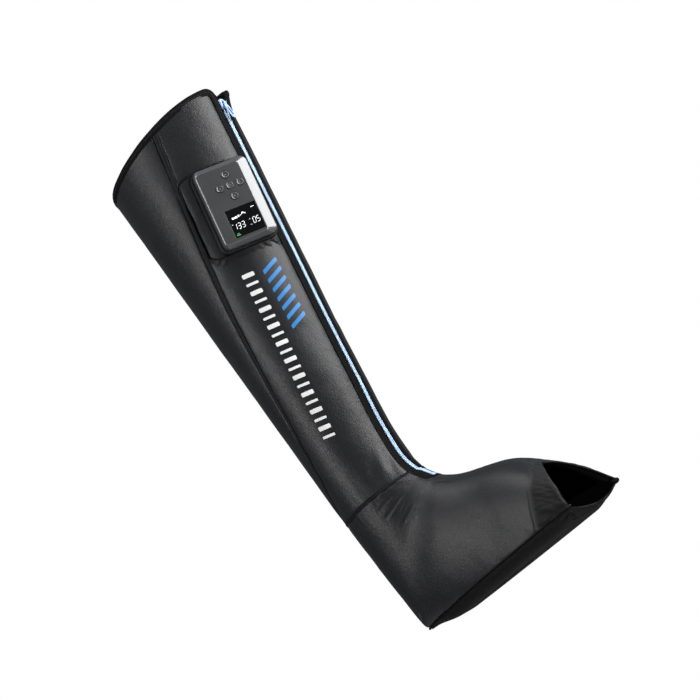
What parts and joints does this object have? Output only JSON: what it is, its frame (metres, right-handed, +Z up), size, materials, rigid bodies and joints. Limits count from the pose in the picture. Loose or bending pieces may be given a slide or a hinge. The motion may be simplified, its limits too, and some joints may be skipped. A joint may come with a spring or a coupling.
{
  "type": "air compression boot with docked control unit",
  "caption": "Thigh-high open-toe air compression boot with a front zipper, air chambers in its wall and a control unit with display and buttons docked on its side.",
  "frame": {"origin": "on the flat underside of the sole, under the middle of the ankle's front and the toe end, 160 mm in front of the heel tip", "axes": "+Z up along the leg, +X towards the toe, -Y towards the side that carries the control unit"},
  "size_m": [0.3188, 0.1771, 0.7381],
  "materials": {
    "outer_fabric": "matte, fine woven",
    "sole_fabric": "matte",
    "binding_tape": "matte ribbed",
    "pocket_fabric": "soft satin",
    "zipper_coil_blue": "satin",
    "zipper_metal_blue": "satin paint",
    "lining_fabric": "matte",
    "air_chamber_film": "satin film",
    "air_hose_tube": "satin",
    "dock_plastic": "matte",
    "unit_gloss_shell": "semi gloss",
    "unit_back_plastic": "matte",
    "display_glass": "gloss",
    "display_panel": "gloss",
    "button_gloss": "gloss",
    "keypad_silicone": "matte",
    "circuit_board": "satin",
    "battery_wrap": "satin",
    "motor_steel": "satin",
    "pump_plastic": "matte",
    "port_metal": "satin",
    "screw_steel": "satin",
    "eccentric_brass": "satin",
    "rotor_plastic": "matte"
  },
  "bodies": {
    "boot": {"leg_lateral_panel": "outer_fabric", "leg_medial_panel": "outer_fabric", "calf_back_panel": "outer_fabric", "side_seam_band_lateral": "binding_tape", "side_seam_band_medial": "binding_tape", "ankle_seam_tape": "binding_tape", "foot_lateral_panel": "outer_fabric", "foot_medial_panel": "outer_fabric", "sole_pad": "sole_fabric", "sole_piping": "binding_tape", "toe_binding_lateral": "binding_tape", "toe_binding_medial": "binding_tape", "top_binding": "binding_tape", "front_binding_lateral": "binding_tape", "front_binding_medial": "binding_tape", "zipper_tape_lateral": "binding_tape", "zipper_tape_medial": "binding_tape", "zipper_coil_lateral": "zipper_coil_blue", "zipper_coil_medial": "zipper_coil_blue", "zipper_bottom_stop": "zipper_metal_blue", "zipper_placket": "binding_tape", "leg_lining": "lining_fabric", "foot_lining_lateral": "lining_fabric", "foot_lining_medial": "lining_fabric", "footbed_lining": "lining_fabric", "thigh_air_chamber": "air_chamber_film", "knee_air_chamber": "air_chamber_film", "calf_air_chamber": "air_chamber_film", "foot_air_chamber_lateral": "air_chamber_film", "foot_air_chamber_medial": "air_chamber_film", "sole_air_chamber": "air_chamber_film", "thigh_hose": "air_hose_tube", "knee_hose": "air_hose_tube", "calf_hose": "air_hose_tube", "foot_hose": "air_hose_tube", "dock_cradle": "dock_plastic", "dock_connector": "dock_plastic", "pocket_frame": "pocket_fabric"},
    "control_unit": {"unit_back_shell": "unit_back_plastic", "unit_bezel": "unit_gloss_shell", "unit_face_plate": "unit_gloss_shell", "display_window": "display_glass", "display_module": "display_panel", "keypad_membrane": "keypad_silicone", "main_board": "circuit_board", "battery_pack": "battery_wrap", "pump_motor": "motor_steel", "pump_head": "pump_plastic", "air_distributor": "pump_plastic", "charging_port": "port_metal", "case_screws": "screw_steel"},
    "pump_shaft": {"pump_eccentric": "eccentric_brass"},
    "distributor": {"distributor_rotor": "rotor_plastic"},
    "slider": {"zipper_slider": "zipper_metal_blue"},
    "pull": {"zipper_pull": "zipper_metal_blue"},
    "button_up": {"button_up": "button_gloss"},
    "button_down": {"button_down": "button_gloss"},
    "button_left": {"button_left": "button_gloss"},
    "button_right": {"button_right": "button_gloss"},
    "button_centre": {"button_centre": "button_gloss"}
  },
  "joints": [
    {"name": "unit_lift_off", "type": "slide", "parent": "boot", "child": "control_unit", "axis": [0.7362, -0.6594, -0.1527], "range_m": [0, 0.035]},
    {"name": "pump_spin", "type": "hinge", "parent": "control_unit", "child": "pump_shaft", "pos_m": [0.00031, -0.06198, 0.58765], "axis": [0.2213, 0.0213, 0.975], "continuous": true},
    {"name": "distributor_spin", "type": "hinge", "parent": "control_unit", "child": "distributor", "pos_m": [0.00012, -0.05161, 0.54849], "axis": [0.7362, -0.6594, -0.1527], "continuous": true},
    {"name": "zipper_slide", "type": "slide", "parent": "boot", "child": "slider", "axis": [-0.2063, 0, -0.9785], "range_m": [0, 0.3]},
    {"name": "pull_swing", "type": "hinge", "parent": "slider", "child": "pull", "pos_m": [0.06194, 0, 0.71105], "axis": [0, -1, 0], "range_deg": [-10, 150]},
    {"name": "button_up_press", "type": "slide", "parent": "control_unit", "child": "button_up", "axis": [-0.7362, 0.6594, 0.1527], "range_m": [0, 0.001], "stiffness_N_per_m": 400, "springref_m": -0.0006},
    {"name": "button_down_press", "type": "slide", "parent": "control_unit", "child": "button_down", "axis": [-0.7362, 0.6594, 0.1527], "range_m": [0, 0.001], "stiffness_N_per_m": 400, "springref_m": -0.0006},
    {"name": "button_left_press", "type": "slide", "parent": "control_unit", "child": "button_left", "axis": [-0.7362, 0.6594, 0.1527], "range_m": [0, 0.001], "stiffness_N_per_m": 400, "springref_m": -0.0006},
    {"name": "button_right_press", "type": "slide", "parent": "control_unit", "child": "button_right", "axis": [-0.7362, 0.6594, 0.1527], "range_m": [0, 0.001], "stiffness_N_per_m": 400, "springref_m": -0.0006},
    {"name": "button_centre_press", "type": "slide", "parent": "control_unit", "child": "button_centre", "axis": [-0.7362, 0.6594, 0.1527], "range_m": [0, 0.001], "stiffness_N_per_m": 400, "springref_m": -0.0006}
  ]
}
